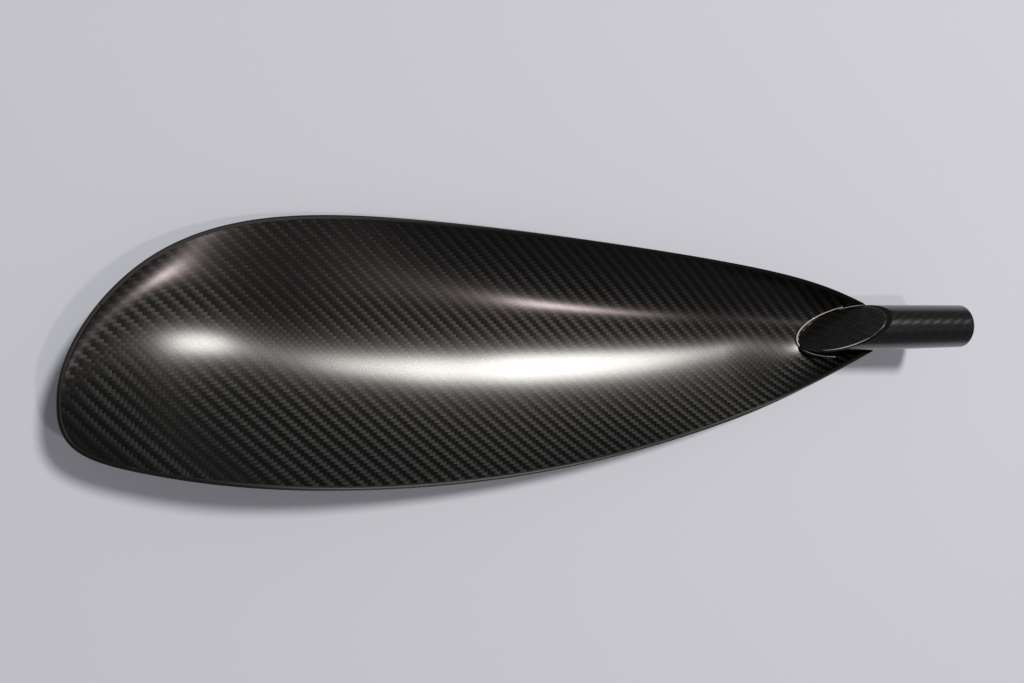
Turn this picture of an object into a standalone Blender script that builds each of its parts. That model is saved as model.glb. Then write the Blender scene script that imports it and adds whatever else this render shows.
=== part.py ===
"""Wing blade of a kayak paddle: carbon skins over foam cores, with the stub tube for the shaft.

The blade is drawn on the shaft's own axes: X runs along the shaft towards the stub's end, with
zero at the root line where the stub leaves the blade, -X is the tip, +Y the trailing edge,
-Y the leading edge and +Z the power face. Distances s run from the root line towards the tip.
An empty then lays the whole blade on its back, as it lies on a bench.
"""
from math import atan2, cos, hypot, pi, radians, sin

import bmesh
import bpy
import numpy as np
from mathutils import Matrix, Vector

MM = 0.001

# Blade, from the root line to the tip
BLADE_LENGTH = 500 * MM
BLADE_WIDTH = 155.4 * MM
TROUGH_DEPTH = 24.2 * MM
LEADING_CURL = 55.5 * MM
TIP_LIFT = 55.5 * MM

# Laminates, cores and the clearance between glued pieces
SKIN = 0.8 * MM
CORE_THICKNESS = 4.2 * MM
CORE_INSET = 9 * MM
EDGE_ROVING = 1.6 * MM
GAP = 0.3 * MM
RIM_LEAN = 0.4 * MM
SIDE_CORE_LEAST = 2.4 * MM

# Spine between the two side cores
SPINE_ROOT_WIDTH = 36 * MM
SPINE_END_WIDTH = 10 * MM
SPINE_END = 380 * MM
SPINE_DRIFT = 12 * MM
SPINE_SETBACK = 2 * MM

# Stub tube, a spigot with a slight draft, and the plug that keeps water out
STUB_LENGTH = 62 * MM
STUB_ROOT_DIAMETER = 30.8 * MM
STUB_END_DIAMETER = 29.4 * MM
STUB_BORE = 26.2 * MM
STUB_CHAMFER = 0.5 * MM
PLUG_DEPTH = 40 * MM
PLUG_THICKNESS = 8 * MM

# Scarf, the oblique cut that ends the tube inside the blade, and its cover
SCARF_LENGTH = 50.5 * MM
SCARF_TOP = -2.5 * MM
SCARF_ROLL = radians(36.5)
SCARF_OVERCUT = 4 * MM
SCARF_BLOCK = 232 * MM
PATCH = 1.2 * MM
NECK_BEAD = 1.2 * MM
NECK_BEAD_ENDS = (radians(-62), radians(70))
NECK_BEAD_TURN = radians(21.8)
NECK_BEAD_LENGTH = 46.8 * MM
NECK_FLARE = 4.9 * MM

# Where the laminates start, measured from the root line
SKIN_START = 4 * MM
ROVING_START = 16 * MM
SIDE_CORE_START = 24 * MM
SLEEVE_LENGTH = 24 * MM
SLEEVE_BLEND = 2 * MM
TIP_ROVING = 110 * MM

# How the blade lies on its back
REST_PITCH = radians(-6.1)
REST_ROLL = radians(0)

# Outline from the trailing root round the tip: share of the length, share of the width
OUTLINE = ((0.0, 0.074), (0.08, 0.175), (0.2, 0.263), (0.4, 0.355), (0.6, 0.427), (0.8, 0.425),
           (0.92, 0.265), (0.985, -0.006), (1.0, -0.221), (0.985, -0.351), (0.92, -0.44),
           (0.8, -0.514), (0.6, -0.555), (0.4, -0.498), (0.2, -0.356), (0.08, -0.209), (0.0, -0.089))

# Heights along the blade, as shares: trailing edge of the tip's lift, leading edge of the curl
EDGE_STATIONS = (0.0, 0.2, 0.4, 0.6, 0.8, 1.0)
TRAILING_SHARE = (0.006, 0.179, 0.284, 0.305, 0.497, 1.0)
LEADING_SHARE = (0.0, 0.07, 0.352, 0.635, 1.0)
TROUGH_STATIONS = (0.0, 0.1, 0.25, 0.45, 0.65, 0.85, 1.0)
TROUGH_SHARE = (0.456, 0.72, 0.906, 1.0, 0.874, 0.735, 0.018)
SKEW_STATIONS = (0.0, 0.35, 0.7, 1.0)
TROUGH_SKEW = (-0.19, -0.09, 0.40, 0.10)
TROUGH_FULLNESS = 0.335
CORE_STATIONS = (0.0, 0.1, 0.25, 0.6, 1.0)
CORE_SHARE = (0.5, 0.6, 1.0, 0.9, 0.6)
CORE_TIP_POWER = 12

# Mesh fineness
OUTLINE_STEPS = 600
SKIN_ROWS = 38
SKIN_COLUMNS = 24
CORE_ROWS = 25
SPINE_COLUMNS = 5
SIDE_CORE_COLUMNS = 10
TUBE_STEPS = 48
BEAD_STEPS = 24
BEAD_PASSES = 8
BEVEL_STEPS = 2
EDGE_STEP = 8 * MM
TIP_STEP = 3.5 * MM
SLOPE_STEP = 0.2 * MM
EVEN_SHARE = 0.5
ROOT_CROWDING = 1.5
WELD_DISTANCE = 0.01 * MM
SHARP_EDGE = radians(35)


def batten(stations, values, at):
    """Value of the natural cubic spline through the stations, as a lofting batten bends."""
    x = np.asarray(stations, float)
    y = np.asarray(values, float)
    at = np.asarray(at, float)
    span = np.diff(x)
    system = np.eye(len(x))
    load = np.zeros(len(x))
    for i in range(1, len(x) - 1):
        system[i, i - 1:i + 2] = span[i - 1], 2 * (span[i - 1] + span[i]), span[i]
        load[i] = 6 * ((y[i + 1] - y[i]) / span[i] - (y[i] - y[i - 1]) / span[i - 1])
    bend = np.linalg.solve(system, load)
    k = np.clip(np.searchsorted(x, at) - 1, 0, len(x) - 2)
    a = (x[k + 1] - at) / span[k]
    b = 1 - a
    cubic = (a ** 3 - a) * bend[k] + (b ** 3 - b) * bend[k + 1]
    return a * y[k] + b * y[k + 1] + cubic * span[k] ** 2 / 6


def outline_curve():
    """Points (s, y) along the blade's rim in plan, from the trailing root round the tip."""
    points = np.array(OUTLINE) * (BLADE_LENGTH, BLADE_WIDTH)
    chords = np.linalg.norm(np.diff(points, axis=0), axis=1)
    run = np.concatenate([[0], np.cumsum(np.sqrt(chords))])
    t = np.linspace(0, run[-1], OUTLINE_STEPS)
    return np.stack([batten(run, points[:, 0], t), batten(run, points[:, 1], t)], axis=1)


def inset(curve, distance):
    """The rim moved inwards by a distance, measured square to it in plan."""
    along = np.gradient(curve, axis=0)
    along /= np.linalg.norm(along, axis=1, keepdims=True)
    inward = np.stack([along[:, 1], -along[:, 0]], axis=1)
    return curve + inward * distance


def sides(curve, s):
    """Trailing and leading side of a rim curve at distance s from the root line."""
    tip = int(curve[:, 0].argmax())
    trailing = np.interp(s, curve[:tip + 1, 0], curve[:tip + 1, 1])
    leading = np.interp(s, curve[tip:, 0][::-1], curve[tip:, 1][::-1])
    return trailing, leading


RIM = outline_curve()
SKIN_RIM = inset(RIM, EDGE_ROVING + GAP)
FACE_RIM = inset(RIM, EDGE_ROVING + GAP + RIM_LEAN)
CORE_RIM = inset(RIM, CORE_INSET)


def across(s, y):
    """Place on the chord, from -1 at the trailing edge to 1 at the leading edge."""
    trailing, leading = sides(RIM, s)
    width = np.maximum(trailing - leading, GAP)
    return np.clip((trailing + leading - 2 * y) / width, -1, 1)


def face_height(s, y):
    """Height of the power face: the chord between the two edges, less the skewed trough."""
    u = s / BLADE_LENGTH
    place = across(s, y)
    curl = [share * LEADING_CURL for share in LEADING_SHARE] + [TIP_LIFT]
    trailing = batten(EDGE_STATIONS, TRAILING_SHARE, u) * TIP_LIFT
    leading = batten(EDGE_STATIONS, curl, u)
    depth = batten(TROUGH_STATIONS, TROUGH_SHARE, u) * TROUGH_DEPTH
    skew = batten(SKEW_STATIONS, TROUGH_SKEW, u)
    bowl = (1 - place ** 2) * (1 + skew * place + TROUGH_FULLNESS * place ** 2)
    return trailing * (1 - place) / 2 + leading * (1 + place) / 2 - depth * bowl


def slopes(height, s, y):
    """Slope of a height surface along the shaft's axis and across it."""
    step = SLOPE_STEP
    along = (height(s - step, y) - height(s + step, y)) / (2 * step)
    aside = (height(s, y + step) - height(s, y - step)) / (2 * step)
    return along, aside


def back_height(s, y):
    """Height of the back: the face less the laminates and core, and wrapped round the tube."""
    u = s / BLADE_LENGTH
    core = CORE_THICKNESS * batten(CORE_STATIONS, CORE_SHARE, u)
    swell = (1 - across(s, y) ** 2) * (1 - u ** CORE_TIP_POWER)
    along, aside = slopes(face_height, s, y)
    steepness = np.sqrt(1 + along ** 2 + aside ** 2)
    blade = face_height(s, y) - (2 * SKIN + GAP + core * swell) * steepness
    radius = STUB_ROOT_DIAMETER / 2 + GAP + SKIN
    y = np.asarray(y, float)
    sleeve = np.where(np.abs(y) < radius, -np.sqrt(np.maximum(radius ** 2 - y ** 2, 0)), radius)
    sleeve = sleeve + np.maximum(s - SLEEVE_LENGTH, 0)
    share = np.clip(0.5 + 0.5 * (sleeve - blade) / SLEEVE_BLEND, 0, 1)
    return sleeve * (1 - share) + blade * share - SLEEVE_BLEND * share * (1 - share)


def surface_point(height, s, y):
    """Point of a height surface in the shaft's axes."""
    return Vector((-s, y, float(height(s, y))))


def surface_normal(height, s, y):
    """Upward unit normal of a height surface."""
    along, aside = slopes(height, s, y)
    return Vector((-float(along), -float(aside), 1)).normalized()


def material(name, colour, roughness, metallic=0.0):
    """Plain material of a sub-part."""
    made = bpy.data.materials.new(name)
    made.use_nodes = True
    shader = made.node_tree.nodes["Principled BSDF"]
    shader.inputs["Base Color"].default_value = (*colour, 1)
    shader.inputs["Roughness"].default_value = roughness
    shader.inputs["Metallic"].default_value = metallic
    return made


def add_object(name, data, collection, finish=None):
    """Links new data under the blade's empty and gives it its material."""
    made = bpy.data.objects.new(name, data)
    collection.objects.link(made)
    made.parent = LAY
    if finish:
        data.materials.append(finish)
    return made


def mesh_object(name, sheet, collection, finish=None):
    """Object from a bmesh, shaded smooth with its hard edges kept."""
    mesh = bpy.data.meshes.new(name)
    sheet.to_mesh(mesh)
    sheet.free()
    mesh.shade_smooth()
    mesh.set_sharp_from_angle(angle=SHARP_EDGE)
    return add_object(name, mesh, collection, finish)


def stations_along(start, end, count):
    """Distances from the start up to the end, closer together at the root and the tip."""
    shares = (np.arange(count + 1) / count) ** ROOT_CROWDING
    return [float(s) for s in start + (end - start) * np.sin(pi / 2 * shares)]


def loft_places(rim, start, rows, columns):
    """Rows of (s, y) places over a rim's plan."""
    places = []
    for s in stations_along(start, rim[:, 0].max(), rows)[:-1]:
        trailing, leading = sides(rim, s)
        even = np.arange(columns + 1) / columns
        crowded = (1 - np.cos(pi * even)) / 2
        shares = even * EVEN_SHARE + crowded * (1 - EVEN_SHARE)
        places.append([(s, float(trailing + (leading - trailing) * part)) for part in shares])
    tip = rim[rim[:, 0].argmax()]
    return places, (float(tip[0]), float(tip[1]))


def add_skin(name, rim, height, outward, finish):
    """Laminate over a rim's plan: an open sheet to the tip, thickened inwards."""
    places, tip = loft_places(rim, SKIN_START, SKIN_ROWS, SKIN_COLUMNS)
    sheet = bmesh.new()
    rows = [[sheet.verts.new(surface_point(height, *place)) for place in row] for row in places]
    point = sheet.verts.new(surface_point(height, *tip))
    for lower, upper in zip(rows, rows[1:]):
        for i in range(SKIN_COLUMNS):
            sheet.faces.new((lower[i], upper[i], upper[i + 1], lower[i + 1])[::outward])
    for i in range(SKIN_COLUMNS):
        sheet.faces.new((rows[-1][i], point, rows[-1][i + 1])[::outward])
    skin = mesh_object(name, sheet, PARTS, finish)
    thicken = skin.modifiers.new("laminate", "SOLIDIFY")
    thicken.thickness = SKIN
    thicken.offset = -1
    cut_away(skin, TUBE_SPACE)


def spine_side(s, side):
    """Where the spine core ends towards the trailing (1) or leading (-1) edge."""
    share = min(max(s / SPINE_END, 0), 1)
    half = (SPINE_ROOT_WIDTH + (SPINE_END_WIDTH - SPINE_ROOT_WIDTH) * share) / 2
    return side * half - SPINE_DRIFT * s / BLADE_LENGTH


def add_core(name, start, end, near, far, columns, finish):
    """Foam core between the skins, from the near side to the far side of each station."""
    clear = SKIN + GAP
    sheet = bmesh.new()
    stations = []
    for s in stations_along(start, end, CORE_ROWS):
        top, bottom = [], []
        for column in range(columns + 1):
            y = near(s) + (far(s) - near(s)) * column / columns
            over = surface_normal(face_height, s, y) * -clear
            under = surface_normal(back_height, s, y) * clear
            top.append(sheet.verts.new(surface_point(face_height, s, y) + over))
            bottom.append(sheet.verts.new(surface_point(back_height, s, y) + under))
        stations.append(top + bottom[::-1])
    for lower, upper in zip(stations, stations[1:]):
        for i in range(len(lower)):
            j = (i + 1) % len(lower)
            sheet.faces.new((lower[i], lower[j], upper[j], upper[i]))
    for ring, turn in ((stations[0], -1), (stations[-1], 1)):
        last = len(ring) - 1
        for i in range(columns):
            corners = (ring[i], ring[i + 1], ring[last - 1 - i], ring[last - i])
            sheet.faces.new(corners[::turn])
    bmesh.ops.recalc_face_normals(sheet, faces=sheet.faces)
    return mesh_object(name, sheet, PARTS, finish)


def cut_away(target, cutter, operation="DIFFERENCE"):
    """Boolean cut that stays live on the target."""
    cut = target.modifiers.new(cutter.name, "BOOLEAN")
    cut.operation = operation
    cut.object = cutter


def revolve(name, profile, collection, finish=None):
    """Closed profile of (x along the shaft, radius) turned about the shaft's axis."""
    sheet = bmesh.new()
    ring = [sheet.verts.new((radius, 0, x)) for x, radius in profile]
    for i, vert in enumerate(ring):
        if i + 1 < len(ring):
            sheet.edges.new((vert, ring[i + 1]))
        elif profile[0][1] > 0:
            sheet.edges.new((vert, ring[0]))
    turned = mesh_object(name, sheet, collection, finish)
    turned.rotation_euler = (0, pi / 2, 0)
    screw = turned.modifiers.new("turn", "SCREW")
    screw.steps = TUBE_STEPS
    screw.render_steps = TUBE_STEPS
    screw.use_merge_vertices = True
    screw.merge_threshold = WELD_DISTANCE
    screw.use_smooth_shade = True
    return turned


def stub_radius(x):
    """Outer radius of the tube: parallel in the blade, then drawn in towards its end."""
    draft = max(x, 0) / STUB_LENGTH
    return (STUB_ROOT_DIAMETER + (STUB_END_DIAMETER - STUB_ROOT_DIAMETER) * draft) / 2


SCARF_SLOPE = atan2(STUB_ROOT_DIAMETER, SCARF_LENGTH)
SCARF_FRAME = (Matrix.Rotation(-SCARF_ROLL, 4, "X")
               @ Matrix.Translation((SCARF_TOP - SCARF_LENGTH / 2, 0, 0))
               @ Matrix.Rotation(-SCARF_SLOPE, 4, "Y"))
TUBE_START = SCARF_TOP - SCARF_LENGTH - SCARF_OVERCUT


def scarf_block(name, low, high):
    """Cutter that fills the room between two heights above the scarf's plane."""
    sheet = bmesh.new()
    bmesh.ops.create_cube(sheet, size=1)
    bmesh.ops.scale(sheet, vec=(SCARF_BLOCK, SCARF_BLOCK, high - low), verts=sheet.verts)
    bmesh.ops.translate(sheet, vec=(0, 0, (high + low) / 2), verts=sheet.verts)
    block = mesh_object(name, sheet, CUTTERS)
    block.matrix_local = SCARF_FRAME
    return block


def mark_cutter(cutter):
    """Cutters show as wires and don't render."""
    cutter.hide_render = True
    cutter.display_type = "WIRE"


def add_tube_space():
    """Room that the tube and its cover need in the skins and cores."""
    radius = STUB_ROOT_DIAMETER / 2 + GAP
    profile = ((SCARF_LENGTH, 0), (SCARF_LENGTH, radius), (TUBE_START, radius), (TUBE_START, 0))
    space = revolve("tube_space", profile, CUTTERS)
    cut_away(space, scarf_block("above_cover", GAP, SCARF_LENGTH))
    return space


def add_stub_tube():
    """Carbon tube, bored through, with its blade end cut along the scarf."""
    end = stub_radius(STUB_LENGTH)
    bore = STUB_BORE / 2
    profile = ((STUB_LENGTH, end - STUB_CHAMFER), (STUB_LENGTH - STUB_CHAMFER, end),
               (0, stub_radius(0)), (TUBE_START, stub_radius(TUBE_START)),
               (TUBE_START, bore), (STUB_LENGTH, bore))
    tube = revolve("stub_tube", profile, PARTS, CARBON_SATIN)
    cut_away(tube, bpy.data.objects["above_seat"])


def add_neck_core():
    """Foam that fills the scarfed end of the tube and carries its cover."""
    radius = STUB_BORE / 2 - GAP
    length = STUB_LENGTH - PLUG_DEPTH - PLUG_THICKNESS - GAP
    profile = ((length, 0), (length, radius), (TUBE_START, radius), (TUBE_START, 0))
    core = revolve("neck_core", profile, PARTS, FOAM)
    cut_away(core, bpy.data.objects["above_seat"])


def add_stub_plug():
    """Cork disc glued across the bore, so that the blade floats and stays dry."""
    radius = STUB_BORE / 2 - GAP
    high = STUB_LENGTH - PLUG_DEPTH
    low = high - PLUG_THICKNESS
    profile = ((high, 0), (high, radius - STUB_CHAMFER), (high - STUB_CHAMFER, radius),
               (low, radius), (low, 0))
    revolve("stub_plug", profile, PARTS, CORK)


def add_neck_patch():
    """Oval cover laminated over the scarf, flush with the tube's outside."""
    radius = STUB_ROOT_DIAMETER / 2
    profile = ((SCARF_LENGTH, 0), (SCARF_LENGTH, radius), (TUBE_START, radius), (TUBE_START, 0))
    patch = revolve("neck_patch", profile, PARTS, CARBON_GLOSS)
    cut_away(patch, scarf_block("cover_layer", -PATCH, 0), "INTERSECT")


def tube_wire(name, points, thickness, finish):
    """Round bead along a path of points, with closed ends."""
    path = bpy.data.curves.new(name, "CURVE")
    path.dimensions = "3D"
    path.bevel_depth = thickness / 2
    path.bevel_resolution = BEVEL_STEPS
    path.use_fill_caps = True
    line = path.splines.new("POLY")
    line.points.add(len(points) - 1)
    for spot, point in zip(line.points, points):
        spot.co = (*point, 1)
    add_object(name, path, PARTS, finish)


def add_neck_bead():
    """Resin fillet bead on the power face round the tip side of the oval."""
    reach = GAP + NECK_BEAD / 2
    clear = STUB_ROOT_DIAMETER / 2 + reach
    tip = SCARF_LENGTH - SCARF_TOP + 2 * reach
    down = Matrix.Rotation(-SCARF_ROLL, 3, "X") @ Vector((0, 0, -1))
    points = []
    for angle in np.linspace(*NECK_BEAD_ENDS, BEAD_STEPS + 1):
        s = tip - NECK_BEAD_LENGTH * (1 - cos(angle))
        y = (STUB_ROOT_DIAMETER / 2 + NECK_FLARE) * sin(angle - NECK_BEAD_TURN)
        for _ in range(BEAD_PASSES):
            point = surface_point(face_height, s, y) + surface_normal(face_height, s, y) * reach
            cut = STUB_ROOT_DIAMETER * ((s + SCARF_TOP) / SCARF_LENGTH - 0.5)
            z = min(point.z, (cut - point.y * down.y) / down.z)
            y *= max(clear / hypot(point.y, z), 1)
        points.append(point)
    tube_wire("neck_bead", points, NECK_BEAD, RESIN)


def rim_path(line, run, first, last, step):
    """Centre line of the edge roving between two lengths along the rim."""
    count = max(round((last - first) / step), 4)
    points = []
    for at in np.linspace(first, last, count + 1):
        s = float(np.interp(at, run, line[:, 0]))
        y = float(np.interp(at, run, line[:, 1]))
        top, bottom = float(face_height(s, y)), float(back_height(s, y))
        points.append(Vector((-s, y, (top + bottom) / 2)))
    return points


def add_edge_rovings():
    """Three lengths of roving round the rim, butted either side of the tip."""
    line = inset(RIM, EDGE_ROVING / 2)
    run = np.concatenate([[0], np.cumsum(np.linalg.norm(np.diff(line, axis=0), axis=1))])
    tip = int(line[:, 0].argmax())
    first = float(np.interp(ROVING_START, line[:tip, 0], run[:tip]))
    last = float(np.interp(-ROVING_START, -line[tip:, 0], run[tip:]))
    middle = float(run[tip])
    before, after = middle - TIP_ROVING / 2, middle + TIP_ROVING / 2
    for name, start, end, step in (("trailing_edge_roving", first, before - GAP, EDGE_STEP),
                                   ("tip_edge_roving", before, after, TIP_STEP),
                                   ("leading_edge_roving", after + GAP, last, EDGE_STEP)):
        tube_wire(name, rim_path(line, run, start, end, step), EDGE_ROVING, ROVING)


def add_cores():
    """Spine core down the middle, and a core on each side of it."""
    spine_start = SCARF_LENGTH - SCARF_TOP + SPINE_SETBACK
    add_core("spine_core", spine_start, SPINE_END,
             lambda s: spine_side(s, 1) - GAP / 2, lambda s: spine_side(s, -1) + GAP / 2,
             SPINE_COLUMNS, SPINE_FOAM)
    for name, side in (("trailing_core", 1), ("leading_core", -1)):
        def inner(s, side=side):
            return spine_side(s, side) + side * GAP / 2

        def outer(s, side=side):
            return sides(CORE_RIM, s)[0 if side > 0 else 1]

        reach = np.linspace(SIDE_CORE_START, CORE_RIM[:, 0].max(), OUTLINE_STEPS)
        wide = [s for s in reach if side * (outer(s) - inner(s)) > SIDE_CORE_LEAST]
        core = add_core(name, wide[0], wide[-1], inner, outer, SIDE_CORE_COLUMNS, FOAM)
        cut_away(core, TUBE_SPACE)


def lay_down():
    """Turns the blade onto its back and stands its box's bottom centre on the origin."""
    LAY.rotation_euler = (REST_ROLL, REST_PITCH, 0)
    bpy.context.view_layer.update()
    graph = bpy.context.evaluated_depsgraph_get()
    corners = []
    for item in PARTS.objects:
        shown = item.evaluated_get(graph)
        mesh = shown.to_mesh()
        corners += [shown.matrix_world @ vert.co for vert in mesh.vertices]
        shown.to_mesh_clear()
    spots = np.array(corners)
    low, high = spots.min(axis=0), spots.max(axis=0)
    LAY.location = (-(low[0] + high[0]) / 2, -(low[1] + high[1]) / 2, -low[2])


for old in list(bpy.data.objects):
    bpy.data.objects.remove(old)

PARTS = bpy.data.collections.new("wing_paddle_blade")
CUTTERS = bpy.data.collections.new("cutters")
for group in (PARTS, CUTTERS):
    bpy.context.scene.collection.children.link(group)
LAY = bpy.data.objects.new("lay_on_back", None)
bpy.context.scene.collection.objects.link(LAY)

CARBON_GLOSS = material("clear_coated_carbon", (0.016, 0.015, 0.015), 0.12)
CARBON_SATIN = material("satin_carbon", (0.03, 0.03, 0.028), 0.32)
ROVING = material("edge_roving", (0.02, 0.02, 0.02), 0.25)
RESIN = material("clear_resin", (0.1, 0.1, 0.095), 0.1)
FOAM = material("white_foam", (0.78, 0.75, 0.66), 0.9)
SPINE_FOAM = material("spine_foam", (0.62, 0.55, 0.4), 0.9)
CORK = material("cork", (0.33, 0.2, 0.11), 0.9)

scarf_block("above_seat", -PATCH - GAP, SCARF_LENGTH)
TUBE_SPACE = add_tube_space()
add_skin("power_face_skin", FACE_RIM, face_height, 1, CARBON_GLOSS)
add_skin("back_face_skin", SKIN_RIM, back_height, -1, CARBON_GLOSS)
add_cores()
add_edge_rovings()
add_stub_tube()
add_neck_core()
add_stub_plug()
add_neck_patch()
add_neck_bead()
for guide in CUTTERS.objects:
    mark_cutter(guide)
lay_down()
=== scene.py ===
"""Looks of a kayak paddle's wing blade: clear coated carbon twill, a scarfed neck and a satin stub."""
from math import atan2, cos, pi, radians, sin

import bmesh
import bpy
import numpy as np
from mathutils import Euler, Matrix, Vector


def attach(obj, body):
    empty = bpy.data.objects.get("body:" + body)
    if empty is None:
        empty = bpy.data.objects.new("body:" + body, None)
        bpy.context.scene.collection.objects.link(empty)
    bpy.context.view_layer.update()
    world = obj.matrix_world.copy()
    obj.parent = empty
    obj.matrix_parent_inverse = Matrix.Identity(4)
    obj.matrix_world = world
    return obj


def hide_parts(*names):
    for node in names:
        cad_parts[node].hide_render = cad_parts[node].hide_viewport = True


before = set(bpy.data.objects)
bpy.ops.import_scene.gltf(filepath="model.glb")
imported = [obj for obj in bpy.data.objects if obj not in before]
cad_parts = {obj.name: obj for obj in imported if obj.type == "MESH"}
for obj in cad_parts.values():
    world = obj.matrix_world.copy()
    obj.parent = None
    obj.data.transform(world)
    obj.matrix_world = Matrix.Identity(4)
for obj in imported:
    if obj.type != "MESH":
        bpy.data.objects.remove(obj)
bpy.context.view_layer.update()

MM = 0.001

# Sizes of the blade
BLADE_LENGTH = 500 * MM
BLADE_WIDTH = 155.4 * MM
TROUGH_DEPTH = 24.2 * MM
LEADING_CURL = 55.5 * MM
TIP_LIFT = 55.5 * MM
SKIN = 0.8 * MM
CORE_THICKNESS = 4.2 * MM
EDGE_ROVING = 1.6 * MM
GAP = 0.3 * MM
RIM_LEAN = 0.4 * MM
STUB_LENGTH = 62 * MM
STUB_ROOT_DIAMETER = 30.8 * MM
STUB_END_DIAMETER = 29.4 * MM
STUB_BORE = 26.2 * MM
STUB_CHAMFER = 0.5 * MM
SCARF_LENGTH = 50.5 * MM
SCARF_TOP = -2.5 * MM
SCARF_ROLL = radians(36.5)
SCARF_OVERCUT = 4 * MM
SCARF_BLOCK = 232 * MM
PATCH = 1.2 * MM
COVER_LIP = 0.5 * MM
COVER_TOP_LIP = 2.5 * MM
NECK_BEAD = 1.2 * MM
NECK_BEAD_ENDS = (radians(-62), radians(70))
NECK_BEAD_TURN = radians(21.8)
NECK_BEAD_LENGTH = 46.8 * MM
NECK_BEAD_FADE = radians(50)
NECK_BEAD_END = 0.45
NECK_FLARE = 4.9 * MM
SEAM = 0.7 * MM
SEAM_LEADING_ENDS = (radians(-128), radians(-66))
SEAM_TRAILING_ENDS = (radians(52), radians(86))
SEAM_FADE = radians(24)
SEAM_END = 0.3
SKIN_START = 4 * MM
ROVING_START = 4 * MM
SLEEVE_LENGTH = 24 * MM
SLEEVE_BLEND = 2 * MM
TIP_ROVING = 110 * MM

# How it lies: its turn on its back, and where the tube's axis meets the root line
REST_TURN = np.array(Euler((0, radians(-6.1), 0)).to_matrix())
ROOT_POINT = np.array((219.86, 8.59, 34.84)) * MM

# Outline: share of the length, share of the width. Edges and trough: stations as shares of the length, and
# the share of the tip's lift, the leading curl or the trough's depth at each. All are rounded results of
# scratch fits to the photo.
OUTLINE = ((0.0, 0.074), (0.08, 0.175), (0.2, 0.263), (0.4, 0.355), (0.6, 0.427), (0.8, 0.425),
           (0.92, 0.265), (0.985, -0.006), (1.0, -0.221), (0.985, -0.351), (0.92, -0.44),
           (0.8, -0.514), (0.6, -0.555), (0.4, -0.498), (0.2, -0.356), (0.08, -0.209), (0.0, -0.089))
EDGE_STATIONS = (0.0, 0.2, 0.4, 0.6, 0.8, 1.0)
TRAILING_SHARE = (0.006, 0.179, 0.284, 0.305, 0.497, 1.0)
LEADING_SHARE = (0.0, 0.07, 0.352, 0.635, 1.0)
TROUGH_STATIONS = (0.0, 0.1, 0.25, 0.45, 0.65, 0.85, 1.0)
TROUGH_SHARE = (0.456, 0.72, 0.906, 1.0, 0.874, 0.735, 0.018)
SKEW_STATIONS = (0.0, 0.35, 0.7, 1.0)
TROUGH_SKEW = (-0.19, -0.09, 0.40, 0.10)
TROUGH_FULLNESS = 0.335

# Finer sag of the power face in mm, a row for each power of the place across. The numbers are from a
# scratch program's fit to the photo's highlights. The fade brings the finer form in along the blade.
SAG_STATIONS = (0.1, 0.24, 0.38, 0.52, 0.66, 0.76, 0.84, 0.92, 1.0)
FINER_SAG = ((-1.0, -0.5, 0.0, -0.9, -0.8, -2.0, -2.7, -3.5, 0.0),
             (-7.2, -6.2, -6.6, -8.0, -5.9, -5.2, -8.5, -8.1, 0.0),
             (-1.2, -3.0, -1.3, -5.2, -8.5, -11.6, -11.9, -5.2, 0.0))
SAG_FADE = (0.09, 0.22)

# Core: its share of the full thickness along the blade
CORE_STATIONS = (0.0, 0.1, 0.25, 0.6, 1.0)
CORE_SHARE = (0.5, 0.6, 1.0, 0.9, 0.6)
CORE_TIP_POWER = 12

# Cloth. The grain's centre lies far off along -Y, so that the fibres' shine keeps one direction.
TOW = 2.0 * MM
TWILL_REPEAT = 4
CRIMP = 0.8
FIBRE_LENGTHWISE = 0.4
FIBRE_ACROSS = 12
TOW_BUMP = 0.12 * MM
DARK_CARBON = 0.003
CLOTH = "cloth"
GRAIN_CENTRE = 100.0

# Fineness of the meshes
OUTLINE_STEPS = 1200
SKIN_ROWS = 150
SKIN_COLUMNS = 84
ROOT_CROWDING = 1.5
LAST_ROW = 0.998
CLOTH_LEAD = 20 * MM
CLOTH_STEPS = 261
CLOTH_SPANS = 12
BEAD_PASSES = 8
TUBE_SIDES = 144
COVER_SIDES = 96
ROVING_STEP = 2 * MM
ROVING_SIDES = 15
BEAD_SIDES = 12
BEAD_STEPS = 90
SEAM_STEPS = 30
STUB_ROWS = 40
BORE_ROWS = 12
MOUTH_STEPS = 5
MOUTH_ROOM = 2 * MM
COVER_ROWS = 14
LIP_STEPS = 8
COVER_CENTRE = 0.04
COVER_UNDERSIDE = 0.6
AXIS_RADIUS = 0.02 * MM
SHARP_ANGLE = 35
TRIMMED_SHARP_ANGLE = 50
SLOPE_STEP = 0.2 * MM

# Camera of the photograph: its size and focus in pixels, the blade's tilt and roll in radians, the distance
# of the root point, that point's place in pixels, and Blender's usual sensor in mm
PHOTO_WIDTH, PHOTO_HEIGHT = 1024, 683
PHOTO_FOCUS = 800.0
PHOTO_TILT = 0.197
PHOTO_ROLL = 0.018
PHOTO_DEPTH = 548.8 * MM
PHOTO_ROOT = (879.9, 327.4)
SENSOR_WIDTH = 36
CLIP_START = 10 * MM

# Studio: levels of the surroundings, the lamps' places on the tube's axes, the point in the scene that they
# face, and the floor
WORLD_LEVEL = 0.15
BACKDROP_LEVEL = 0.6
KEY_LAMP = (1482 * MM, 1359 * MM, 3365 * MM)
SIDE_LAMP = (718 * MM, -436 * MM, 1959 * MM)
LAMP_AIM = (-20 * MM, 0, 0)
WORLD_COLOUR = (0.95, 0.97, 1, 1)
FLOOR_RADIUS = 6
FLOOR_SIDES = 96
FLOOR_DROP = 0.2 * MM


# Shape of the blade

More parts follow.
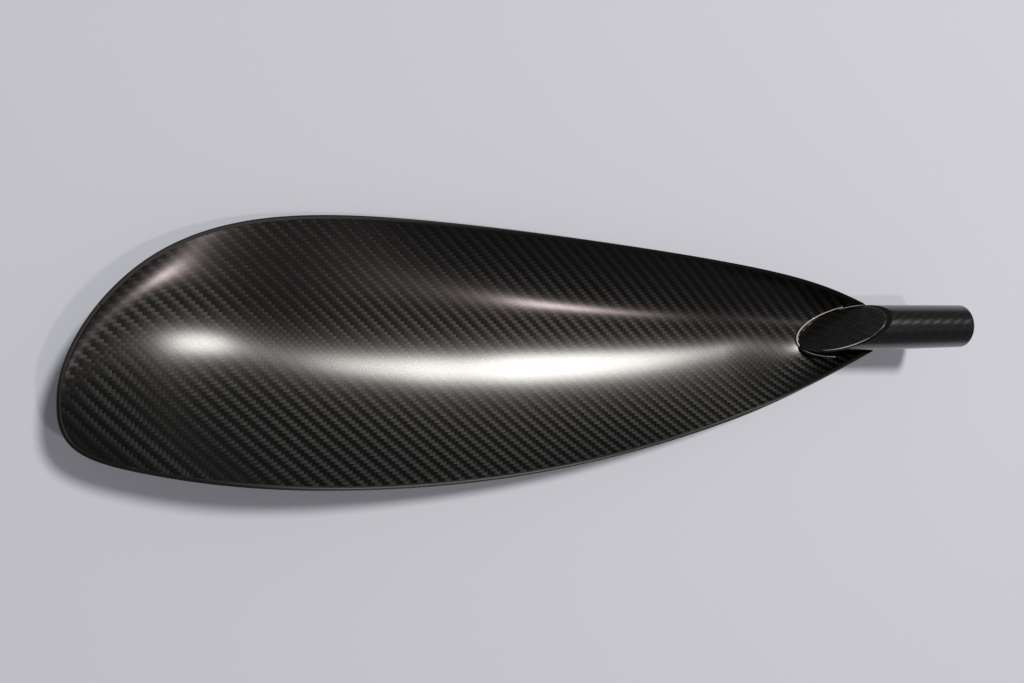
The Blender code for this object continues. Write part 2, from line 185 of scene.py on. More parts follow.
def batten(stations, values, at):
    """Value of the natural cubic spline through the stations."""
    x = np.asarray(stations, float)
    y = np.asarray(values, float)
    at = np.asarray(at, float)
    span = np.diff(x)
    system = np.eye(len(x))
    load = np.zeros(len(x))
    for i in range(1, len(x) - 1):
        system[i, i - 1:i + 2] = span[i - 1], 2 * (span[i - 1] + span[i]), span[i]
        load[i] = 6 * ((y[i + 1] - y[i]) / span[i] - (y[i] - y[i - 1]) / span[i - 1])
    bend = np.linalg.solve(system, load)
    k = np.clip(np.searchsorted(x, at) - 1, 0, len(x) - 2)
    a = (x[k + 1] - at) / span[k]
    b = 1 - a
    cubic = (a ** 3 - a) * bend[k] + (b ** 3 - b) * bend[k + 1]
    return a * y[k] + b * y[k + 1] + cubic * span[k] ** 2 / 6


def outline_curve():
    """Points (s, y) along the blade's rim in plan, from the trailing root round the tip."""
    points = np.array(OUTLINE) * (BLADE_LENGTH, BLADE_WIDTH)
    chords = np.linalg.norm(np.diff(points, axis=0), axis=1)
    run = np.concatenate([[0], np.cumsum(np.sqrt(chords))])
    t = np.linspace(0, run[-1], OUTLINE_STEPS)
    return np.stack([batten(run, points[:, 0], t), batten(run, points[:, 1], t)], axis=1)


def inset(curve, distance):
    """The rim moved inwards by a distance, measured square to it in plan."""
    along = np.gradient(curve, axis=0)
    along /= np.linalg.norm(along, axis=1, keepdims=True)
    inward = np.stack([along[:, 1], -along[:, 0]], axis=1)
    return curve + inward * distance


def sides(curve, s):
    """Trailing and leading side of a rim curve at distance s from the root line."""
    tip = int(curve[:, 0].argmax())
    trailing = np.interp(s, curve[:tip + 1, 0], curve[:tip + 1, 1])
    leading = np.interp(s, curve[tip:, 0][::-1], curve[tip:, 1][::-1])
    return trailing, leading


RIM = outline_curve()
SKIN_RIM = inset(RIM, EDGE_ROVING + GAP)
FACE_RIM = inset(RIM, EDGE_ROVING + GAP + RIM_LEAN)


def across(s, y):
    """Place on the chord, from -1 at the trailing edge to 1 at the leading edge."""
    trailing, leading = sides(RIM, s)
    width = np.maximum(trailing - leading, GAP)
    return np.clip((trailing + leading - 2 * y) / width, -1, 1)


def face_height(s, y):
    """Height of the power face: the chord between the two edges, less the skewed trough."""
    u = s / BLADE_LENGTH
    place = across(s, y)
    curl = [share * LEADING_CURL for share in LEADING_SHARE] + [TIP_LIFT]
    trailing = batten(EDGE_STATIONS, TRAILING_SHARE, u) * TIP_LIFT
    leading = batten(EDGE_STATIONS, curl, u)
    depth = batten(TROUGH_STATIONS, TROUGH_SHARE, u) * TROUGH_DEPTH
    skew = batten(SKEW_STATIONS, TROUGH_SKEW, u)
    bowl = (1 - place ** 2) * (1 + skew * place + TROUGH_FULLNESS * place ** 2)
    return trailing * (1 - place) / 2 + leading * (1 + place) / 2 - depth * bowl


def finer_face(s, y):
    """Height of the power face with the finer form that was fitted to the photo's highlights."""
    u = s / BLADE_LENGTH
    place = across(s, y)
    start, full = SAG_FADE
    share = np.clip((u - start) / (full - start), 0, 1)
    fade = share ** 2 * (3 - 2 * share)
    sag = sum(batten(SAG_STATIONS, row, np.maximum(u, start)) * place ** power
              for power, row in enumerate(FINER_SAG)) * MM
    return face_height(s, y) - fade * (1 - place ** 2) * sag


def slopes(height, s, y):
    """Slope of a height surface along the tube's axis and across it."""
    along = (height(s - SLOPE_STEP, y) - height(s + SLOPE_STEP, y)) / (2 * SLOPE_STEP)
    aside = (height(s, y + SLOPE_STEP) - height(s, y - SLOPE_STEP)) / (2 * SLOPE_STEP)
    return along, aside


def back_height(s, y):
    """Height of the back: the face less the laminates and core, and wrapped round the tube."""
    u = s / BLADE_LENGTH
    core = CORE_THICKNESS * batten(CORE_STATIONS, CORE_SHARE, u)
    swell = (1 - across(s, y) ** 2) * (1 - u ** CORE_TIP_POWER)
    along, aside = slopes(face_height, s, y)
    steepness = np.sqrt(1 + along ** 2 + aside ** 2)
    blade = face_height(s, y) - (2 * SKIN + GAP + core * swell) * steepness
    radius = STUB_ROOT_DIAMETER / 2 + GAP + SKIN
    sleeve = np.where(np.abs(y) < radius, -np.sqrt(np.maximum(radius ** 2 - y ** 2, 0)), radius)
    sleeve = sleeve + np.maximum(s - SLEEVE_LENGTH, 0)
    share = np.clip(0.5 + 0.5 * (sleeve - blade) / SLEEVE_BLEND, 0, 1)
    return sleeve * (1 - share) + blade * share - SLEEVE_BLEND * share * (1 - share)


def lay(points):
    """Points on the tube's axes, as they lie in the scene."""
    return np.asarray(points, float) @ REST_TURN.T + ROOT_POINT


# Mesh making

def piece(name, points, faces, finish, corner_cloth=None, solid=True):
    """Smooth object of points on the tube's axes, with the cloth's place at each face corner."""
    mesh = bpy.data.meshes.new(name)
    mesh.from_pydata([tuple(p) for p in lay(points)], [], faces)
    if corner_cloth is not None:
        layer = mesh.uv_layers.new(name=CLOTH)
        layer.data.foreach_set("uv", np.asarray(corner_cloth, np.float32).ravel())
    if solid:
        shell = bmesh.new()
        shell.from_mesh(mesh)
        bmesh.ops.recalc_face_normals(shell, faces=shell.faces)
        shell.to_mesh(mesh)
        shell.free()
    mesh.shade_smooth()
    made = bpy.data.objects.new(name, mesh)
    bpy.context.scene.collection.objects.link(made)
    if finish:
        mesh.materials.append(finish)
    return made


def woven(name, points, cloth, finish, round_closed=False, end_closed=False, capped=False, solid=True):
    """Object from a grid of points; its cloth grid has one more line wherever the grid closes."""
    rings, columns = points.shape[:2]
    faces, corner_cloth = [], []
    for r in range(rings if end_closed else rings - 1):
        for c in range(columns if round_closed else columns - 1):
            corners = ((r, c), (r, c + 1), (r + 1, c + 1), (r + 1, c))
            faces.append([(i % rings) * columns + j % columns for i, j in corners])
            corner_cloth += [cloth[i, j] for i, j in corners]
    for r in (0, rings - 1) if capped else ():
        faces.append([r * columns + c for c in range(columns)])
        corner_cloth += [cloth[r, c] for c in range(columns)]
    return piece(name, points.reshape(-1, 3), faces, finish, corner_cloth, solid)


def settle(made):
    """Makes an object's modifiers permanent."""
    graph = bpy.context.evaluated_depsgraph_get()
    mesh = bpy.data.meshes.new_from_object(made.evaluated_get(graph))
    made.modifiers.clear()
    made.data = mesh


def trim(made, cutter):
    """Cuts another object's solid away from an object."""
    cut = made.modifiers.new("trim", "BOOLEAN")
    cut.operation = "DIFFERENCE"
    cut.object = cutter
    cut.solver = "EXACT"
    settle(made)


def crease(made, degrees=SHARP_ANGLE):
    """Keeps an object's real edges sharp."""
    made.data.shade_smooth()
    made.data.set_sharp_from_angle(angle=radians(degrees))


def turned(name, profile, finish):
    """Solid ring turned about the tube's axis from a closed profile of (x, radius)."""
    profile = np.array(profile)
    steps = np.linalg.norm(np.diff(np.vstack([profile, profile[:1]]), axis=0), axis=1)
    run = np.concatenate([[0], np.cumsum(steps)])
    angles = np.arange(TUBE_SIDES + 1) * 2 * pi / TUBE_SIDES
    x, radius = profile[:, 0, None], profile[:, 1, None]
    points = np.stack([x + 0 * angles[:-1], radius * np.cos(angles[:-1]),
                       radius * np.sin(angles[:-1])], axis=-1)
    cloth = np.stack(np.meshgrid(run, angles * STUB_ROOT_DIAMETER / 2, indexing="ij"), axis=-1)
    return woven(name, points, cloth / TOW, finish, round_closed=True, end_closed=True)


def swept(name, path, thick, finish):
    """Bead of round section along a path, closed at both ends."""
    count = BEAD_SIDES
    path = np.asarray(path, float)
    along = np.gradient(path, axis=0)
    along /= np.linalg.norm(along, axis=1, keepdims=True)
    aside = np.cross(along, (0, 0, 1))
    aside /= np.linalg.norm(aside, axis=1, keepdims=True)
    up = np.cross(aside, along)
    angles = np.arange(count) * 2 * pi / count
    radius = thick[:, None, None] / 2
    rings = (path[:, None] + aside[:, None] * radius * np.cos(angles)[None, :, None]
             + up[:, None] * radius * np.sin(angles)[None, :, None])
    points = rings.reshape(-1, 3)
    faces = []
    for r in range(len(path) - 1):
        for c in range(count):
            d = (c + 1) % count
            faces.append((r * count + c, r * count + d, (r + 1) * count + d, (r + 1) * count + c))
    faces.append(tuple(range(count)))
    faces.append(tuple(range(len(points) - count, len(points))))
    run = np.concatenate([[0], np.cumsum(np.linalg.norm(np.diff(path, axis=0), axis=1))]) / TOW
    corner_cloth = []
    for face in faces:
        corner_cloth += [(run[v // count], v % count) for v in face]
    return piece(name, points, faces, finish, corner_cloth)


# Pieces

def cloth_run(s, y, height):
    """The cloth's own lengths in tows, along and across the blade, at points of its surface."""
    along = np.linspace(-CLOTH_LEAD, BLADE_LENGTH, CLOTH_STEPS)
    slope, _ = slopes(height, along, 0 * along)
    lengths = np.concatenate([[0], np.cumsum(np.hypot(1, slope[1:]) * np.diff(along))])
    u = -np.interp(s, along, lengths)
    v = np.zeros_like(y)
    for share in (np.arange(CLOTH_SPANS) + 0.5) / CLOTH_SPANS:
        _, aside = slopes(height, s, y * share)
        v += np.hypot(1, aside) * y / CLOTH_SPANS
    return np.stack([u, v], axis=-1) / TOW


def skin(name, rim, height, outward, finish):
    """Laminate over a rim's plan, thickened inwards."""
    end = rim[:, 0].max()
    turn = np.linspace(0, LAST_ROW, SKIN_ROWS) ** ROOT_CROWDING
    s = SKIN_START + (end - SKIN_START) * np.sin(turn * pi / 2)
    trailing, leading = sides(rim, s)
    even = np.linspace(0, 1, SKIN_COLUMNS)
    share = (even + (1 - np.cos(pi * even)) / 2) / 2
    y = trailing[:, None] + (leading - trailing)[:, None] * share[::-outward]
    s = np.broadcast_to(s[:, None], y.shape)
    points = np.stack([-s, y, height(s, y)], axis=-1)
    made = woven(name, points, cloth_run(s, y, height), finish, solid=False)
    thicken = made.modifiers.new("laminate", "SOLIDIFY")
    thicken.thickness = SKIN
    thicken.offset = -1
    settle(made)
    return made


def nose(name, first, last, finish):
    """Length of the rim's roving: a rounded nose that closes the edges of both skins."""
    line = inset(RIM, EDGE_ROVING / 2)
    run = np.concatenate([[0], np.cumsum(np.linalg.norm(np.diff(line, axis=0), axis=1))])
    at = np.linspace(first, last, max(int((last - first) / ROVING_STEP), 8))
    angles = np.linspace(pi / 2, -pi / 2, ROVING_SIDES)
    rows = []
    for angle in angles:
        depth = EDGE_ROVING + GAP + (RIM_LEAN if angle > 0 else 0)
        curve = inset(RIM, depth * (1 - cos(angle)))
        s, y = np.interp(at, run, curve[:, 0]), np.interp(at, run, curve[:, 1])
        top, bottom = finer_face(s, y), back_height(s, y)
        rows.append(np.stack([-s, y, (top + bottom) / 2 + (top - bottom) / 2 * sin(angle)], axis=-1))
    points = np.stack(rows, axis=1)
    round_run = np.append(np.arange(ROVING_SIDES), 0) / ROVING_SIDES
    cloth = np.stack(np.meshgrid(at / TOW, round_run, indexing="ij"), axis=-1)
    return woven(name, points, cloth, finish, round_closed=True, capped=True)


def rim_lengths():
    """Lengths along the rim where its three rovings start and end."""
    line = inset(RIM, EDGE_ROVING / 2)
    run = np.concatenate([[0], np.cumsum(np.linalg.norm(np.diff(line, axis=0), axis=1))])
    tip = int(line[:, 0].argmax())
    first = float(np.interp(ROVING_START, line[:tip, 0], run[:tip]))
    last = float(np.interp(-ROVING_START, -line[tip:, 0], run[tip:]))
    return first, run[tip] - TIP_ROVING / 2, run[tip] + TIP_ROVING / 2, last


def stub_radius(x):
    """Outer radius of the tube: parallel in the blade, then drawn in towards its end."""
    draft = max(x, 0) / STUB_LENGTH
    return (STUB_ROOT_DIAMETER + (STUB_END_DIAMETER - STUB_ROOT_DIAMETER) * draft) / 2


SCARF_SLOPE = atan2(STUB_ROOT_DIAMETER, SCARF_LENGTH)
SCARF_FRAME = np.array(Matrix.Rotation(-SCARF_ROLL, 4, "X")
                       @ Matrix.Translation((SCARF_TOP - SCARF_LENGTH / 2, 0, 0))
                       @ Matrix.Rotation(-SCARF_SLOPE, 4, "Y"))
TUBE_START = SCARF_TOP - SCARF_LENGTH - SCARF_OVERCUT


def foam(name, node, finish):
    """Stand-in for a foam core's node, its upper side moved with the finer face."""
    made = bpy.data.objects.new(name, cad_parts[node].data.copy())
    bpy.context.scene.collection.objects.link(made)
    places = np.empty(len(made.data.vertices) * 3)
    made.data.vertices.foreach_get("co", places)
    points = (places.reshape(-1, 3) - ROOT_POINT) @ REST_TURN
    s, y = -points[:, 0], points[:, 1]
    low, high = back_height(s, y) + SKIN + GAP, face_height(s, y) - SKIN - GAP
    share = np.clip((points[:, 2] - low) / np.maximum(high - low, GAP), 0, 1)
    points[:, 2] += share * (finer_face(s, y) - face_height(s, y))
    made.data.vertices.foreach_set("co", lay(points).ravel())
    made.data.materials.clear()
    made.data.materials.append(finish)
    return made


def on_scarf(points):
    """Points given on the scarf's own plane, moved to the tube's axes."""
    points = np.asarray(points, float)
    return points @ SCARF_FRAME[:3, :3].T + SCARF_FRAME[:3, 3]


def scarf_block(low, high):
    """Cutter that fills the room between two heights above the scarf's plane."""
    reach = SCARF_BLOCK / 2
    corners = [(x, y, z) for z in (low, high) for x, y in
               ((-reach, -reach), (reach, -reach), (reach, reach), (-reach, reach))]
    faces = [(0, 3, 2, 1), (4, 5, 6, 7)] + [(i, (i + 1) % 4, (i + 1) % 4 + 4, i + 4) for i in range(4)]
    return piece("scarf_block", on_scarf(corners), faces, None)


def discard(*helpers):
    """Removes cutters once they have done their work."""
    for helper in helpers:
        bpy.data.objects.remove(helper)


def stub(finish):
    """Tube with its rounded mouth, and its blade end cut along the scarf."""
    bore, end = STUB_BORE / 2, stub_radius(STUB_LENGTH)
    mouth = [(STUB_LENGTH - STUB_CHAMFER * (1 - sin(a)), end - STUB_CHAMFER * (1 - cos(a)))
             for a in np.linspace(0, pi / 2, MOUTH_STEPS)]
    outside = [(x, stub_radius(x)) for x in np.linspace(TUBE_START, STUB_LENGTH - MOUTH_ROOM, STUB_ROWS)]
    inside = [(x, bore) for x in np.linspace(STUB_LENGTH - STUB_CHAMFER, TUBE_START, BORE_ROWS)]
    made = turned("stub", outside + mouth + [(STUB_LENGTH, bore + STUB_CHAMFER / 2)] + inside, finish)
    above = scarf_block(-PATCH - GAP, SCARF_LENGTH)
    trim(made, above)
    discard(above)
    crease(made)
    return made


def neck_cover(finish):
    """Oval laminate over the scarf, with its rim rolled down to the tube."""
    half_wide = STUB_ROOT_DIAMETER / 2
    half_long = half_wide / sin(SCARF_SLOPE)
    slip = 1 / np.tan(SCARF_SLOPE)
    angles = np.arange(COVER_SIDES) * 2 * pi / COVER_SIDES
    lip = COVER_LIP + (COVER_TOP_LIP - COVER_LIP) * ((1 + np.cos(angles)) / 2) ** 3
    rings = [(share * (1 - lip / half_wide), 0 * lip)
             for share in np.linspace(COVER_CENTRE, 1, COVER_ROWS)]
    for a in np.linspace(0, pi / 2, LIP_STEPS)[1:]:
        rings.append((1 - lip / half_wide * (1 - sin(a)), -np.minimum(lip, PATCH) * (1 - cos(a))))
    rings += [(share + 0 * lip, -PATCH + 0 * lip) for share in (1, COVER_UNDERSIDE, COVER_CENTRE)]
    points = np.array([np.stack([half_long * share * np.cos(angles) + z * slip,
                                 half_wide * share * np.sin(angles), z], axis=-1) for share, z in rings])
    cloth = np.concatenate([points[:, :, :2], points[:, :1, :2]], axis=1) / TOW
    return woven("neck_cover", on_scarf(points), cloth, finish, round_closed=True, capped=True)


def neck_seam(name, first, last, finish):
    """Thin line of resin along a stretch of the cover's edge, where the laminate folds down; painted pale
    as a highlight.
    """
    half_wide = STUB_ROOT_DIAMETER / 2
    angle = np.linspace(first, last, SEAM_STEPS)
    path = np.stack([half_wide / sin(SCARF_SLOPE) * np.cos(angle), (half_wide - COVER_LIP) * np.sin(angle),
                     0 * angle + GAP / 2 + SEAM / 2], axis=-1)
    ends = np.minimum(angle - angle[0], angle[-1] - angle)
    thick = SEAM * (SEAM_END + (1 - SEAM_END) * np.clip(ends / SEAM_FADE, 0, 1))
    return swept(name, on_scarf(path), thick, finish)


def neck_rim(finish):
    """Bead of clear resin round the tip side of the oval, thickest at its tip; its pale grey is a painted
    highlight.
    """
    reach = GAP + NECK_BEAD / 2
    clear = STUB_ROOT_DIAMETER / 2 + reach
    angle = np.linspace(*NECK_BEAD_ENDS, BEAD_STEPS)
    s = SCARF_LENGTH - SCARF_TOP + 2 * reach - NECK_BEAD_LENGTH * (1 - np.cos(angle))
    y = (STUB_ROOT_DIAMETER / 2 + NECK_FLARE) * np.sin(angle - NECK_BEAD_TURN)
    cut = STUB_ROOT_DIAMETER * ((s + SCARF_TOP) / SCARF_LENGTH - 0.5)
    for _ in range(BEAD_PASSES):
        along, aside = slopes(face_height, s, y)
        up = np.stack([-along, -aside, np.ones_like(s)], axis=-1)
        up /= np.linalg.norm(up, axis=1, keepdims=True)
        path = np.stack([-s, y, face_height(s, y)], axis=-1) + up * reach
        scarf = -(cut + path[:, 1] * sin(SCARF_ROLL)) / cos(SCARF_ROLL)
        y = y * np.maximum(clear / np.hypot(path[:, 1], np.minimum(path[:, 2], scarf)), 1)
    ends = np.minimum(angle - angle[0], angle[-1] - angle)
    thick = NECK_BEAD * (NECK_BEAD_END + (1 - NECK_BEAD_END) * np.clip(ends / NECK_BEAD_FADE, 0, 1))
    return swept("neck_rim", path, thick, finish)


# Finishes

class Wire:
    """A socket's value in a finish; arithmetic on it adds the maths nodes."""

    def __init__(self, finish, socket):
        self.finish = finish
        self.socket = socket

    def maths(self, operation, *terms):
        """One Math node of this value and others."""
        return self.finish.node("ShaderNodeMath", {"operation": operation}, dict(enumerate(terms)))

    def __add__(self, other):
        return self.maths("ADD", self, other)

    __radd__ = __add__

    def __sub__(self, other):
        return self.maths("SUBTRACT", self, other)

    def __rsub__(self, other):
        return self.maths("SUBTRACT", other, self)

    def __mul__(self, other):
        return self.maths("MULTIPLY", self, other)

    __rmul__ = __mul__

    def __mod__(self, other):
        return self.maths("FLOORED_MODULO", self, other)

    def __lt__(self, other):
        return self.maths("LESS_THAN", self, other)

    def floor(self):
        """The whole number below."""
        return self.maths("FLOOR", self)

    def fraction(self):
        """What is above the whole number."""
        return self.maths("FRACT", self)


class Finish:
    """A material, made node by node."""

    def __init__(self, name):
        self.material = bpy.data.materials.new(name)
        self.material.use_nodes = True
        self.tree = self.material.node_tree
        self.tree.nodes.clear()

    def node(self, kind, settings=None, values=None, output=0):
        """Adds a node: its settings first, then the values or links of its sockets."""
        made = self.tree.nodes.new(kind)
        for name, value in (settings or {}).items():
            if name == "stops":
                ramp = made.color_ramp
                while len(ramp.elements) < len(value):
                    ramp.elements.new(1)
                for element, (place, colour) in zip(ramp.elements, value):
                    element.position = place
                    element.color = (*colour, 1)
            else:
                setattr(made, name, value)
        for name, value in (values or {}).items():
            socket = made.inputs[name]
            if isinstance(value, Wire):
                self.tree.links.new(value.socket, socket)
            else:
                socket.default_value = value
        return Wire(self, made.outputs[output]) if len(made.outputs) else None

    def split(self, vector):
        """The three numbers of a vector."""
        parts = self.node("ShaderNodeSeparateXYZ", values={0: vector}).socket.node
        return [Wire(self, socket) for socket in parts.outputs]

    def join(self, x, y, z=0.0):
        """A vector of three numbers."""
        return self.node("ShaderNodeCombineXYZ", values={0: x, 1: y, 2: z})

    def blend(self, share, a, b):
        """Colour between two, by a share."""
        return self.node("ShaderNodeMix", {"data_type": "RGBA"}, {0: share, 6: a, 7: b}, output=2)

    def noise(self, place, scale, detail=2.0):
        """Cloudy value round a half."""
        return self.node("ShaderNodeTexNoise", values={"Vector": place, "Scale": scale, "Detail": detail})

    def bump(self, height, distance, strength=1.0):
        """Normal of a surface that rises by a distance where the height is one."""
        return self.node("ShaderNodeBump", values={"Strength": strength, "Distance": distance,
                                                   "Height": height})

    def shader(self, **values):
        """Principled shader with the named sockets set."""
        named = {name.replace("_", " ").title().replace("Ior", "IOR"): value
                 for name, value in values.items()}
        return self.node("ShaderNodeBsdfPrincipled", values=named)

    def surface(self, shader):
        """Ends the finish with its shader."""
        self.node("ShaderNodeOutputMaterial", values={"Surface": shader})
        return self.material


def grey(level, warmth=0.0):
    """Near neutral colour, leaning to brown where warmth is above zero."""
    return (level * (1 + warmth), level, level * (1 - warmth), 1)


def twill(finish):
    """Two by two twill: which tow is on top, how it crowns, its own shade, and its fibres."""
    along, aside, _ = finish.split(finish.node("ShaderNodeUVMap", {"uv_map": CLOTH}))
    column, row = along.floor(), aside.floor()
    warp_up = (column + row) % TWILL_REPEAT < 1.5
    warp_run = (along + row) % TWILL_REPEAT - 1
    weft_run = (column + aside) % TWILL_REPEAT - 3
    warp_side = aside.fraction() * 2 - 1
    weft_side = along.fraction() * 2 - 1
    warp_crown = (1 - warp_side * warp_side) * (1 - warp_run * warp_run * CRIMP)
    weft_crown = (1 - weft_side * weft_side) * (1 - weft_run * weft_run * CRIMP)
    crown = weft_crown + (warp_crown - weft_crown) * warp_up
    shade_of = finish.node("ShaderNodeTexWhiteNoise", {"noise_dimensions": "2D"},
                           {"Vector": finish.join(column * (1 - warp_up), row * warp_up + 0.5)})
    fibre_place = finish.join(along * (FIBRE_LENGTHWISE + FIBRE_ACROSS * (1 - warp_up)),
                              aside * (FIBRE_LENGTHWISE + FIBRE_ACROSS * warp_up))
    fibres = finish.noise(fibre_place, scale=1.0, detail=1.0)
    return warp_up, crown, shade_of, fibres


def coated_twill(name, coat=0.55, roughness=0.42, coat_roughness=0.165, warp=(0.013, 0.1),
                 weft=(0.009, 0.1)):
    """Carbon twill under a clear coat; each set of tows shines across its own fibres."""
    finish = Finish(name)
    warp_up, crown, shade_of, fibres = twill(finish)
    # The colour darkens towards each tow's edges and crimped ends, by its crown: painted shade between the
    # tows, over the bump that shapes them.
    tone = (0.35 + 0.65 * crown) * (0.75 + 0.5 * shade_of) * (0.7 + 0.6 * fibres)
    lie = finish.bump(crown, distance=TOW_BUMP, strength=0.6)
    common = dict(metallic=0.85, roughness=roughness, anisotropic=0.8, normal=lie,
                  coat_weight=coat, coat_roughness=coat_roughness, coat_ior=1.5)
    dark = grey(DARK_CARBON)
    along = finish.shader(base_color=finish.blend(tone, dark, grey(*warp)), anisotropic_rotation=0.25,
                          **common)
    aside = finish.shader(base_color=finish.blend(tone, dark, grey(*weft)), **common)
    both = finish.node("ShaderNodeMixShader", values={0: warp_up, 1: aside, 2: along})
    return finish.surface(both)


def roving_finish():
    """Resin rich carbon roving at the rim."""
    finish = Finish("rim_roving")
    along, aside, _ = finish.split(finish.node("ShaderNodeUVMap", {"uv_map": CLOTH}))
    strands = finish.noise(finish.join(along * 0.5, aside * 3), scale=1.0, detail=3.0)
    shader = finish.shader(base_color=finish.blend(strands, grey(DARK_CARBON), grey(0.012, 0.05)),
                           roughness=0.4 + 0.2 * strands, specular_ior_level=0.25,
                           normal=finish.bump(strands, distance=0.05 * MM, strength=0.5),
                           coat_weight=0.12, coat_roughness=0.25)
    return finish.surface(shader)


def resin_painted_highlight():
    """Clear resin over carbon, a little cloudy; its pale grey colour is a painted highlight."""
    finish = Finish("clear_resin")
    place = finish.node("ShaderNodeNewGeometry")
    cloud = finish.noise(place, scale=300.0, detail=2.0)
    shader = finish.shader(base_color=finish.blend(cloud, grey(0.45), grey(0.85, 0.03)), roughness=0.3,
                           normal=finish.bump(cloud, distance=0.05 * MM, strength=0.3), coat_weight=1.0,
                           coat_roughness=0.05)
    return finish.surface(shader)


def foam_finish(name, pale, deep, cell):
    """Closed cell foam: small round cells with darker walls."""
    finish = Finish(name)
    place = finish.node("ShaderNodeTexCoord", output="Object")
    cells = finish.node("ShaderNodeTexVoronoi", values={"Vector": place, "Scale": 1 / cell})
    cloud = finish.noise(place, scale=40.0, detail=3.0)
    tone = cells * 0.7 + cloud * 0.4
    shader = finish.shader(base_color=finish.blend(tone, pale, deep), roughness=0.75 + 0.2 * cloud,
                           normal=finish.bump(cells, distance=cell / 3, strength=0.6))
    return finish.surface(shader)


def cork_finish():
    """Pressed cork: packed granules of several browns."""
    finish = Finish("pressed_cork")
    place = finish.node("ShaderNodeTexCoord", output="Object")
    grains = finish.node("ShaderNodeTexVoronoi", values={"Vector": place, "Scale": 600.0}, output="Color")
    grain, _, _ = finish.split(grains)
    browns = ((0.0, (0.10, 0.05, 0.025)), (0.5, (0.32, 0.19, 0.1)), (1.0, (0.5, 0.33, 0.19)))
    tone = finish.node("ShaderNodeValToRGB", {"stops": browns}, {0: grain})
    fleck = finish.noise(place, scale=900.0, detail=2.0)
    shader = finish.shader(base_color=tone, roughness=0.7 + 0.25 * fleck,
                           normal=finish.bump(grain, distance=0.3 * MM, strength=0.6))
    return finish.surface(shader)


def floor_finish():
    """Matt pale floor with a faint cloudiness."""
    finish = Finish("studio_floor")
    place = finish.node("ShaderNodeTexCoord", output="Object")
    cloud = finish.noise(place, scale=2.0, detail=3.0)
    shader = finish.shader(base_color=finish.blend(cloud, (0.82, 0.85, 0.95, 1), (0.86, 0.89, 0.98, 1)),
                           roughness=0.8 + 0.1 * cloud)
    return finish.surface(shader)


# The blade

# Warp and weft are the same carbon: the difference between their levels, lighter warp on the blade and
# lighter weft on the stub, is painted light and shade.
BLADE_TWILL = coated_twill("coated_twill")
# The neck patch's twill is the blade's carbon made several times lighter: painted light on the patch.
PATCH_TWILL_PAINTED_LIGHTER = coated_twill("neck_twill_painted_lighter", warp=(0.05, 0.1), weft=(0.05, 0.1))
TUBE_TWILL = coated_twill("satin_twill", coat=1.0, roughness=0.42, coat_roughness=0.22, warp=(0.009, 0.06),
                          weft=(0.013, 0.06))
ROVING = roving_finish()
RESIN_PAINTED_HIGHLIGHT = resin_painted_highlight()

space_radius = STUB_ROOT_DIAMETER / 2 + GAP
space_profile = [(SCARF_LENGTH, AXIS_RADIUS), (SCARF_LENGTH, space_radius), (TUBE_START, space_radius),
                 (TUBE_START, AXIS_RADIUS)]
tube_space = turned("tube_space", space_profile, None)
above_cover = scarf_block(GAP, SCARF_LENGTH)
trim(tube_space, above_cover)

power_face = skin("power_face", FACE_RIM, finer_face, 1, BLADE_TWILL)
back_face = skin("back_face", SKIN_RIM, back_height, -1, BLADE_TWILL)
first, tip_first, tip_last, last = rim_lengths()
trailing_rim = nose("trailing_rim", first, tip_first, ROVING)
tip_rim = nose("tip_rim", tip_first, tip_last, ROVING)
leading_rim = nose("leading_rim", tip_last, last, ROVING)
for made in (power_face, back_face, trailing_rim, leading_rim):
    trim(made, tube_space)
    crease(made, TRIMMED_SHARP_ANGLE)
discard(tube_space, above_cover)
stub_piece = stub(TUBE_TWILL)
cover_piece = neck_cover(PATCH_TWILL_PAINTED_LIGHTER)
rim_piece = neck_rim(RESIN_PAINTED_HIGHLIGHT)
leading_seam = neck_seam("leading_seam", *SEAM_LEADING_ENDS, RESIN_PAINTED_HIGHLIGHT)
trailing_seam = neck_seam("trailing_seam", *SEAM_TRAILING_ENDS, RESIN_PAINTED_HIGHLIGHT)

LIGHT_FOAM = foam_finish("light_foam", pale=grey(0.75, 0.04), deep=grey(0.45, 0.06), cell=0.8 * MM)
DENSE_FOAM = foam_finish("dense_foam", pale=grey(0.5, 0.16), deep=grey(0.3, 0.2), cell=0.5 * MM)
leading_foam = foam("leading_foam", "leading_core", LIGHT_FOAM)
trailing_foam = foam("trailing_foam", "trailing_core", LIGHT_FOAM)
spine_foam = foam("spine_foam", "spine_core", DENSE_FOAM)

for made, node, slot in ((power_face, "power_face_skin", "clear_coated_carbon"),
                         (back_face, "back_face_skin", "clear_coated_carbon"),
                         (trailing_rim, "trailing_edge_roving", "edge_roving"),
                         (tip_rim, "tip_edge_roving", "edge_roving"),
                         (leading_rim, "leading_edge_roving", "edge_roving"),
                         (stub_piece, "stub_tube", "satin_carbon"),
                         (cover_piece, "neck_patch", "clear_coated_carbon"),
                         (rim_piece, "neck_bead", "clear_resin"),
                         (leading_seam, "neck_bead", "clear_resin"),
                         (trailing_seam, "neck_bead", "clear_resin"),
                         (leading_foam, "leading_core", "white_foam"),
                         (trailing_foam, "trailing_core", "white_foam"),
                         (spine_foam, "spine_core", "spine_foam")):
    made.data.use_auto_texspace = False
    made.data.texspace_location = (0, -GRAIN_CENTRE, 0)
    made.data.texspace_size = (1, 1, 1)
    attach(made, "root")
    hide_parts(node)

CORK = cork_finish()
for node, finish in (("neck_core", LIGHT_FOAM), ("stub_plug", CORK)):
    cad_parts[node].data.materials.clear()
    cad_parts[node].data.materials.append(finish)


# Studio

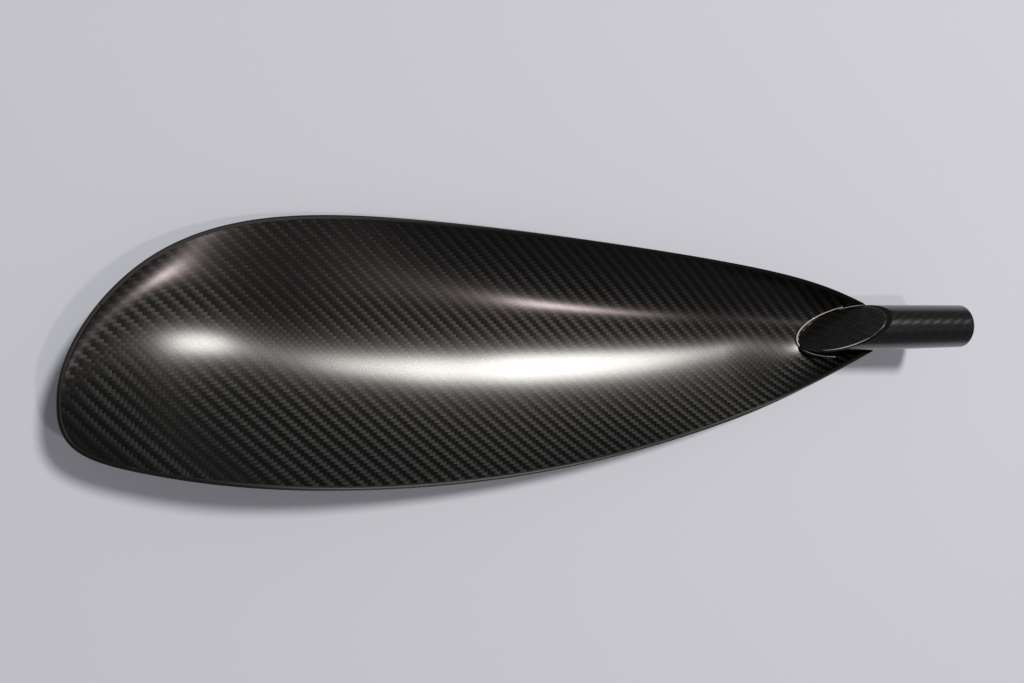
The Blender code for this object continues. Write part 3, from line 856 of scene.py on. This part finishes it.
def studio_floor():
    """Wide round floor under the blade."""
    mesh = bpy.data.meshes.new("studio_floor")
    shell = bmesh.new()
    bmesh.ops.create_circle(shell, cap_ends=True, radius=FLOOR_RADIUS, segments=FLOOR_SIDES)
    shell.to_mesh(mesh)
    shell.free()
    mesh.materials.append(floor_finish())
    made = bpy.data.objects.new("studio_floor", mesh)
    made.location = (0, 0, -FLOOR_DROP)
    bpy.context.scene.collection.objects.link(made)


def soft_lamp(name, place, width, power, colour):
    """Round soft lamp at a place on the tube's axes, turned to the blade."""
    light = bpy.data.lights.new(name, "AREA")
    light.shape = "DISK"
    light.size = width
    light.energy = power
    light.color = colour
    made = bpy.data.objects.new(name, light)
    bpy.context.scene.collection.objects.link(made)
    made.location = lay(place)
    made.rotation_mode = "QUATERNION"
    made.rotation_quaternion = (Vector(LAMP_AIM) - made.location).to_track_quat("-Z", "Y")
    return made


def studio_world():
    """Dim even surroundings, which the camera itself sees as a pale backdrop."""
    world = bpy.data.worlds.new("studio")
    world.use_nodes = True
    tree = world.node_tree
    background = tree.nodes["Background"]
    background.inputs["Color"].default_value = WORLD_COLOUR
    path = tree.nodes.new("ShaderNodeLightPath")
    level = tree.nodes.new("ShaderNodeMapRange")
    level.inputs["To Min"].default_value = WORLD_LEVEL
    level.inputs["To Max"].default_value = BACKDROP_LEVEL
    tree.links.new(path.outputs["Is Camera Ray"], level.inputs["Value"])
    tree.links.new(level.outputs["Result"], background.inputs["Strength"])
    bpy.context.scene.world = world


def photo_camera():
    """Camera that sees the blade as the photograph does."""
    level = cos(PHOTO_TILT)
    right = np.array((level * cos(PHOTO_ROLL), -level * sin(PHOTO_ROLL), sin(PHOTO_TILT)))
    down = np.cross((0, 0, -1), right)
    down /= np.linalg.norm(down)
    deep = np.cross(right, down)
    if deep[2] > 0:
        deep, down = -deep, -down
    turn = np.stack([right, down, deep], axis=1)
    shift = np.array(((PHOTO_ROOT[0] - PHOTO_WIDTH / 2) / PHOTO_FOCUS * PHOTO_DEPTH,
                      (PHOTO_ROOT[1] - PHOTO_HEIGHT / 2) / PHOTO_FOCUS * PHOTO_DEPTH, PHOTO_DEPTH))
    eye = lay(-turn.T @ shift)
    rows = turn @ REST_TURN.T
    camera = bpy.data.cameras.new("camera")
    camera.sensor_width = SENSOR_WIDTH
    camera.lens = PHOTO_FOCUS / PHOTO_WIDTH * camera.sensor_width
    camera.clip_start = CLIP_START
    made = bpy.data.objects.new("camera", camera)
    bpy.context.scene.collection.objects.link(made)
    place = Matrix.Identity(4)
    for axis, direction in enumerate((rows[0], -rows[1], -rows[2])):
        for i in range(3):
            place[i][axis] = direction[i]
    for i in range(3):
        place[i][3] = eye[i]
    made.matrix_world = place
    bpy.context.scene.camera = made


studio_floor()
soft_lamp("key_lamp", KEY_LAMP, width=0.66, power=82, colour=(1, 0.97, 0.92))
soft_lamp("side_lamp", SIDE_LAMP, width=0.12, power=5, colour=(1, 0.84, 0.82))
studio_world()
photo_camera()
bpy.context.scene.view_settings.view_transform = "Standard"
